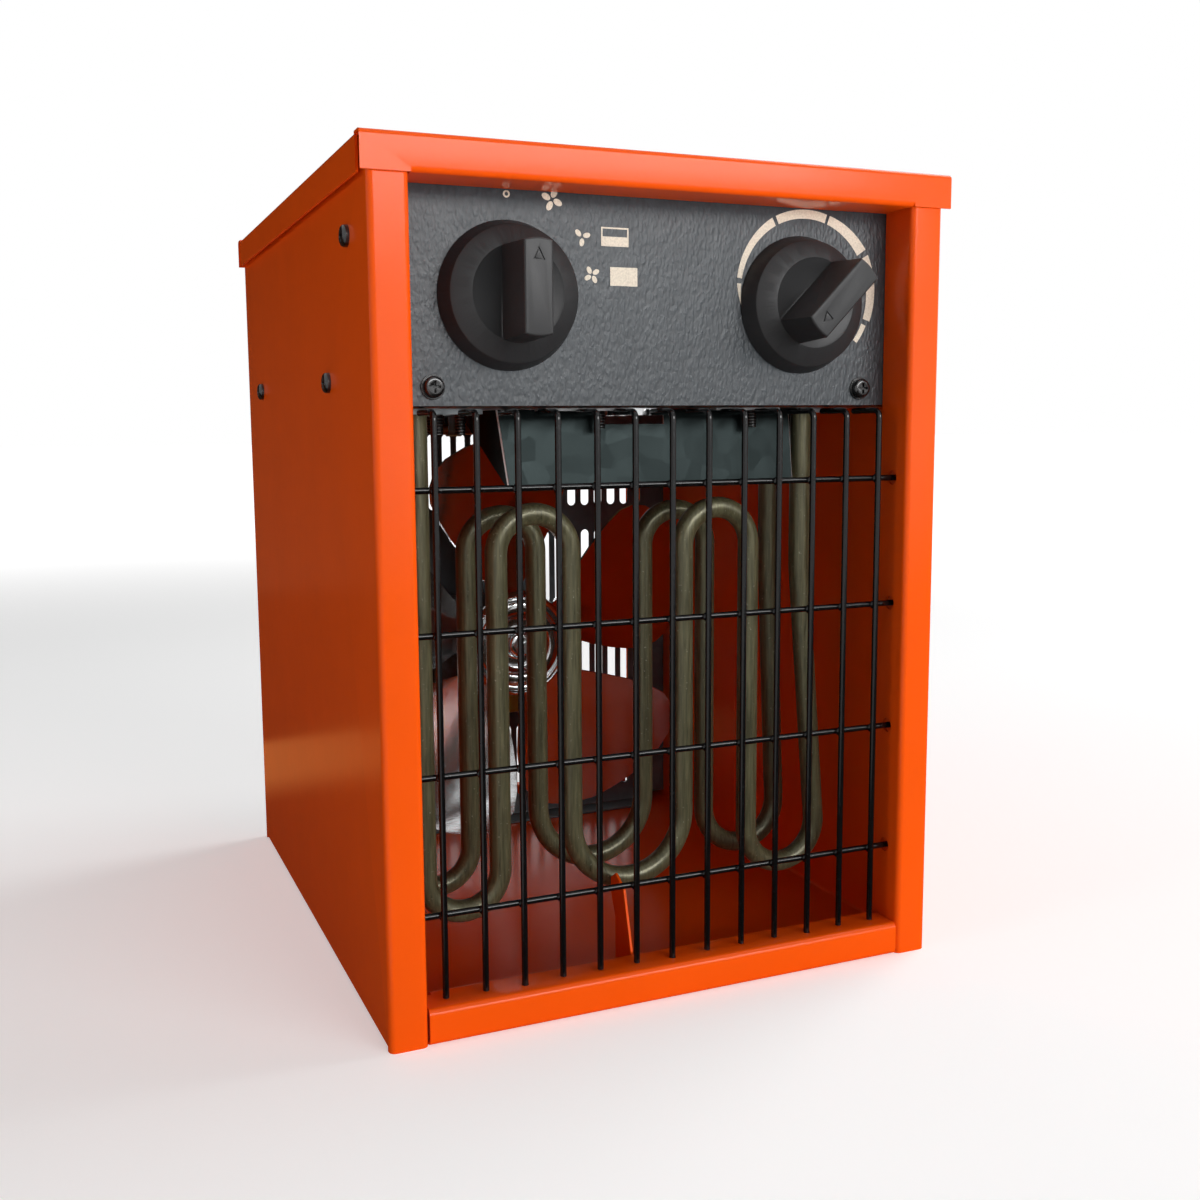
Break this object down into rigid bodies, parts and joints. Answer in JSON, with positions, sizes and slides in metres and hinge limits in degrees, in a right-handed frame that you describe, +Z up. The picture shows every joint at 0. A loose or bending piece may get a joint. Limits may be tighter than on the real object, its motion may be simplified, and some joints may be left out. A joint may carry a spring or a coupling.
{
  "type": "greenhouse fan heater",
  "caption": "Box-shaped electric fan heater with a folded sheet casing, wire grille, looped heating elements, axial fan and a recessed panel with two knobs.",
  "frame": {"origin": "on the base plane, below the middle of the whole object's box", "axes": "+Z up, the grille and knobs face -Y, +X to the right as seen from the front"},
  "size_m": [0.245, 0.294, 0.329],
  "materials": {
    "orange_coat": "gloss",
    "wrinkle_coat": "matt wrinkle",
    "galvanised": "satin",
    "black_wire": "satin",
    "sheath": "satin",
    "plated_steel": "bright",
    "ceramic": "matt",
    "bright_aluminium": "polished",
    "black_plastic": "matt",
    "cream_plastic": "matt",
    "brass": "satin",
    "motor_steel": "matt",
    "coil_tape": "satin",
    "bronze": "satin",
    "copper": "satin",
    "rubber": "matt",
    "wire_cover": "satin"
  },
  "bodies": {
    "root": {"air_baffle": "galvanised", "baffle_screws": "plated_steel", "block_screws": "plated_steel", "body_shell": "orange_coat", "bulb_clips": "galvanised", "cable_gland": "black_plastic", "capillary_tube": "copper", "control_panel": "wrinkle_coat", "control_screws": "plated_steel", "cover_screws": "black_wire", "cutout_body": "black_plastic", "cutout_cap": "bright_aluminium", "cutout_terminals": "brass", "divider_shelf": "galvanised", "earth_screw": "plated_steel", "element_flange_screws": "plated_steel", "element_flanges": "galvanised", "element_insulators": "ceramic", "element_rest": "orange_coat", "element_terminals": "plated_steel", "gland_locknut": "black_plastic", "grille_cross_wires": "black_wire", "grille_upright_wires": "black_wire", "heating_element_front": "sheath", "heating_element_rear": "sheath", "internal_wires": "wire_cover", "motor_bearings": "bronze", "motor_bobbin": "cream_plastic", "motor_coil": "coil_tape", "motor_front_bracket": "motor_steel", "motor_nuts": "plated_steel", "motor_rear_bracket": "motor_steel", "motor_screws": "plated_steel", "motor_spacers": "plated_steel", "motor_stator": "motor_steel", "panel_screws": "black_wire", "panel_washers": "black_wire", "rear_panel": "galvanised", "sensor_bulb": "copper", "shelf_grommets": "rubber", "shelf_rear_screws": "plated_steel", "side_screws": "black_wire", "switch_back": "black_plastic", "switch_housing": "cream_plastic", "switch_terminals": "brass", "terminal_block": "cream_plastic", "thermostat_back": "cream_plastic", "thermostat_bellows": "plated_steel", "thermostat_housing": "motor_steel", "thermostat_terminals": "brass", "top_cover": "orange_coat"},
    "fan": {"impeller": "bright_aluminium", "fan_shaft": "plated_steel", "hub_nut": "plated_steel", "motor_rotor": "bright_aluminium"},
    "switch": {"switch_knob": "black_plastic", "switch_shaft": "plated_steel", "switch_cam": "cream_plastic"},
    "thermostat": {"thermostat_knob": "black_plastic", "thermostat_shaft": "plated_steel"}
  },
  "joints": [
    {"name": "fan_spin", "type": "hinge", "parent": "root", "child": "fan", "pos_m": [0, 0.06545, 0.116], "axis": [0, 1, 0], "continuous": true},
    {"name": "switch_turn", "type": "hinge", "parent": "root", "child": "switch", "pos_m": [-0.0632, -0.12305, 0.277], "axis": [0, 1, 0], "range_deg": [0, 81]},
    {"name": "thermostat_turn", "type": "hinge", "parent": "root", "child": "thermostat", "pos_m": [0.0632, -0.12305, 0.277], "axis": [0, 1, 0], "range_deg": [0, 270]}
  ]
}
